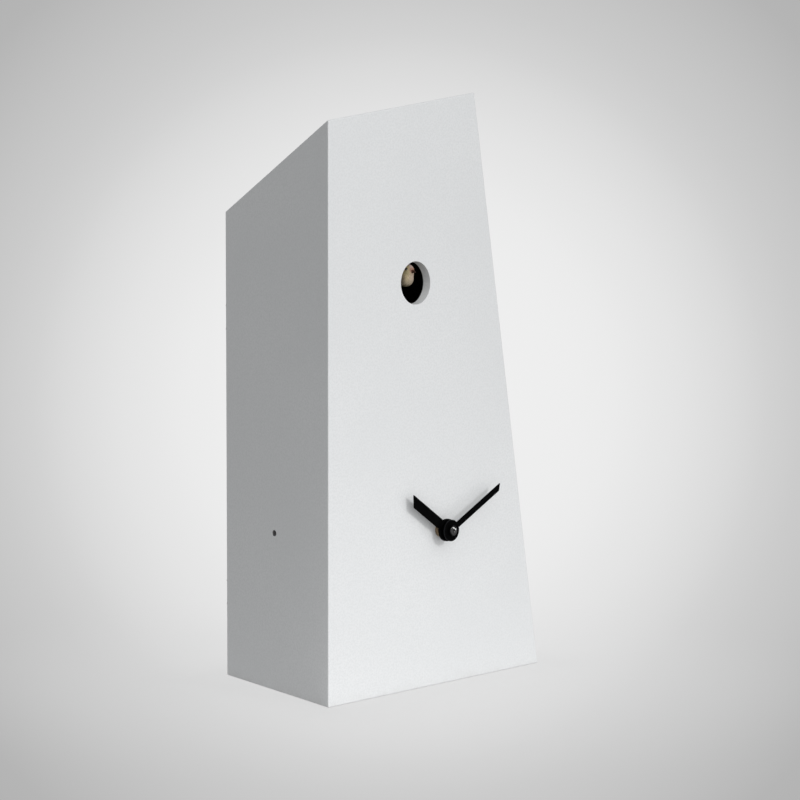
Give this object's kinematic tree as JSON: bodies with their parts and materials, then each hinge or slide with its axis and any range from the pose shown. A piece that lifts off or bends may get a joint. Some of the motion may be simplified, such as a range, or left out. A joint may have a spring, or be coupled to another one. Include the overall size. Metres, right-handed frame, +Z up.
{
  "type": "cuckoo clock",
  "caption": "Slant-sided white shelf cuckoo clock: a bird swings out of a round hole above black hour and minute hands; quartz movement, sound unit and cells behind a rear door.",
  "frame": {"origin": "on the floor under the middle of the whole clock's box", "axes": "+Z up, the dial side faces -Y, +X to the right as seen from the front"},
  "size_m": [0.1826, 0.1248, 0.3474],
  "materials": {
    "white_lacquer": "satin white lacquer on board",
    "bare_wood": "sanded, unfinished",
    "black_lacquer": "gloss black lacquer",
    "brass": "turned, bright",
    "hinge_brass": "brushed",
    "steel": "zinc plated",
    "bracket_steel": "galvanised sheet",
    "spring_steel": "nickel plated",
    "speaker_steel": "black coated",
    "movement_plastic": "fine moulded texture",
    "gear_plastic": "natural moulded plastic",
    "knob_plastic": "moulded",
    "box_plastic": "fine moulded texture",
    "slider_plastic": "moulded",
    "tray_plastic": "moulded",
    "cell_jacket": "printed-free grey jacket with bright ends",
    "board": "green solder mask",
    "paper_cone": "pressed paper",
    "rubber": "matt",
    "lead_red": "insulated wire",
    "lead_grey": "insulated wire",
    "bird_paint": "hand painted, matt",
    "sensor_window": "lacquered sensor face"
  },
  "bodies": {
    "case": {"base_panel": "white_lacquer", "battery_cells": "cell_jacket", "battery_contacts": "spring_steel", "battery_lead": "lead_red", "battery_springs": "spring_steel", "battery_tray": "tray_plastic", "bird_bracket": "bracket_steel", "bird_motor": "steel", "bird_pivot_pin": "steel", "bird_stop_bar": "steel", "bushing_nut": "brass", "bushing_washer": "brass", "catch_magnet": "steel", "door_stop_battens": "bare_wood", "front_panel": "white_lacquer", "hinge_case_leaves": "hinge_brass", "hinge_case_screws": "hinge_brass", "hinge_pins": "hinge_brass", "left_side_panel": "white_lacquer", "light_sensor": "sensor_window", "minute_wheel_post": "steel", "motor_lead": "lead_grey", "movement_board": "board", "movement_front_case": "movement_plastic", "movement_lead": "lead_grey", "movement_rear_case": "movement_plastic", "panel_wood_screws": "steel", "quartz_crystal": "steel", "right_side_panel": "white_lacquer", "roof_panel": "white_lacquer", "rubber_gasket": "rubber", "sensor_holder": "box_plastic", "sensor_lead": "lead_grey", "small_case_screws": "steel", "sound_board": "board", "sound_box": "box_plastic", "sound_box_cover": "box_plastic", "speaker_basket": "speaker_steel", "speaker_cone": "paper_cone", "speaker_magnet": "speaker_steel", "step_motor": "movement_plastic", "switch_body": "box_plastic", "threaded_bushing": "brass"},
    "minute_body": {"minute_hand": "black_lacquer", "hand_cap": "black_lacquer", "minute_arbor": "brass", "centre_wheel": "gear_plastic"},
    "hour_body": {"hour_hand": "black_lacquer", "hour_wheel": "gear_plastic"},
    "minute_wheel_body": {"minute_wheel": "gear_plastic"},
    "setting_body": {"setting_knob": "knob_plastic"},
    "drive_body": {"drive_pinion": "gear_plastic"},
    "bird_body": {"bird_arm": "gear_plastic", "bird": "bird_paint"},
    "bird_drive_body": {"bird_pinion": "gear_plastic"},
    "door_body": {"rear_door": "white_lacquer", "catch_strike": "steel", "hinge_door_leaves": "hinge_brass", "hinge_door_screws": "hinge_brass"},
    "switch_body_slide": {"switch_slider": "slider_plastic"}
  },
  "joints": [
    {"name": "minute_hand_turn", "type": "hinge", "parent": "case", "child": "minute_body", "pos_m": [0.00127, -0.0513, 0.092], "axis": [0, 1, 0], "continuous": true},
    {"name": "hour_hand_turn", "type": "hinge", "parent": "case", "child": "hour_body", "pos_m": [0.00127, -0.0513, 0.092], "axis": [0, 1, 0], "continuous": true},
    {"name": "minute_wheel_turn", "type": "hinge", "parent": "case", "child": "minute_wheel_body", "pos_m": [0.01327, -0.0513, 0.092], "axis": [0, 1, 0], "continuous": true},
    {"name": "setting_knob_turn", "type": "hinge", "parent": "case", "child": "setting_body", "pos_m": [0.01927, -0.0513, 0.08161], "axis": [0, 1, 0], "continuous": true},
    {"name": "drive_pinion_turn", "type": "hinge", "parent": "case", "child": "drive_body", "pos_m": [-0.00722, -0.0513, 0.10049], "axis": [0, 1, 0], "continuous": true},
    {"name": "bird_swing", "type": "hinge", "parent": "case", "child": "bird_body", "pos_m": [-0.02043, -0.0373, 0.2027], "axis": [1, 0, 0], "range_deg": [0, 25]},
    {"name": "bird_pinion_turn", "type": "hinge", "parent": "case", "child": "bird_drive_body", "pos_m": [-0.02043, -0.02106, 0.19332], "axis": [1, 0, 0], "range_deg": [-101, 1]},
    {"name": "rear_door_hinge", "type": "hinge", "parent": "case", "child": "door_body", "pos_m": [-0.06083, 0.0608, 0.13], "axis": [0, 0, 1], "range_deg": [0, 110]},
    {"name": "sound_switch_slide", "type": "slide", "parent": "case", "child": "switch_body_slide", "axis": [0, 0, 1], "range_m": [0, 0.006]}
  ],
  "couplings": [
    {"joint": "hour_hand_turn", "follows": "minute_hand_turn", "ratio": 0.083333},
    {"joint": "minute_wheel_turn", "follows": "minute_hand_turn", "ratio": -0.33333},
    {"joint": "setting_knob_turn", "follows": "minute_hand_turn", "ratio": 1},
    {"joint": "drive_pinion_turn", "follows": "minute_hand_turn", "ratio": -4},
    {"joint": "bird_pinion_turn", "follows": "bird_swing", "ratio": -4}
  ]
}
